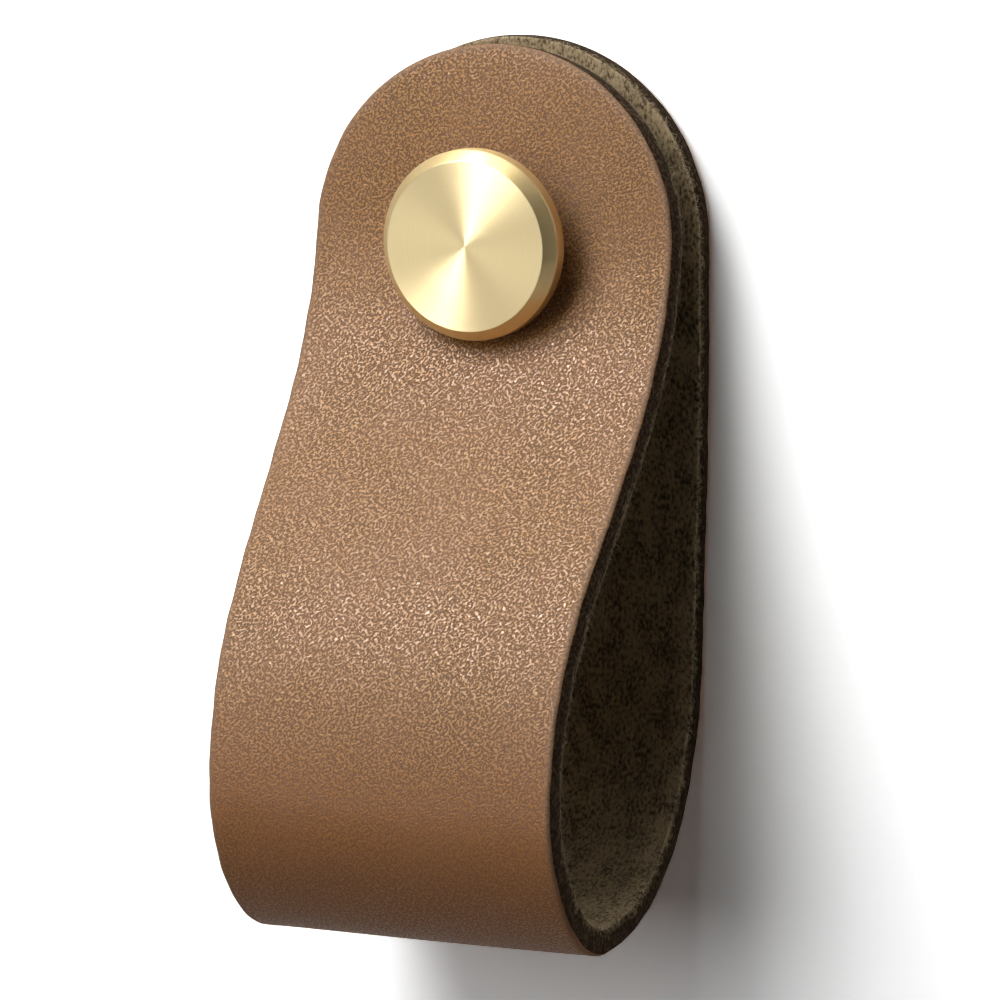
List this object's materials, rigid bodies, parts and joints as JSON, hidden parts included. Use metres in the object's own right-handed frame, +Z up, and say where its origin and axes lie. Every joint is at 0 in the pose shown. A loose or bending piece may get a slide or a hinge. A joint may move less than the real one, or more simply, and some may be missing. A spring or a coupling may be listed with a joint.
{
  "type": "leather strap pull",
  "caption": "Door or drawer pull: a leather strap folded into a loop, with a turned brass button in front and a screw from behind.",
  "frame": {"origin": "on the axis of the screw and button, at the door's face that the back of the strap lies on", "axes": "+Z up, from the fold to the strap's round ends; +Y into the door, along the screw; +X to the right as seen from the front"},
  "size_m": [0.03, 0.0494, 0.0673],
  "materials": {
    "leather": "tan, finely pebbled grain side, dark brown suede flesh side, dark painted edges",
    "brass": "turned face with circular tool marks, polished chamfer",
    "steel": "zinc plated"
  },
  "bodies": {
    "root": {"strap": "leather", "button": "brass", "machine_screw": "steel"}
  },
  "joints": []
}
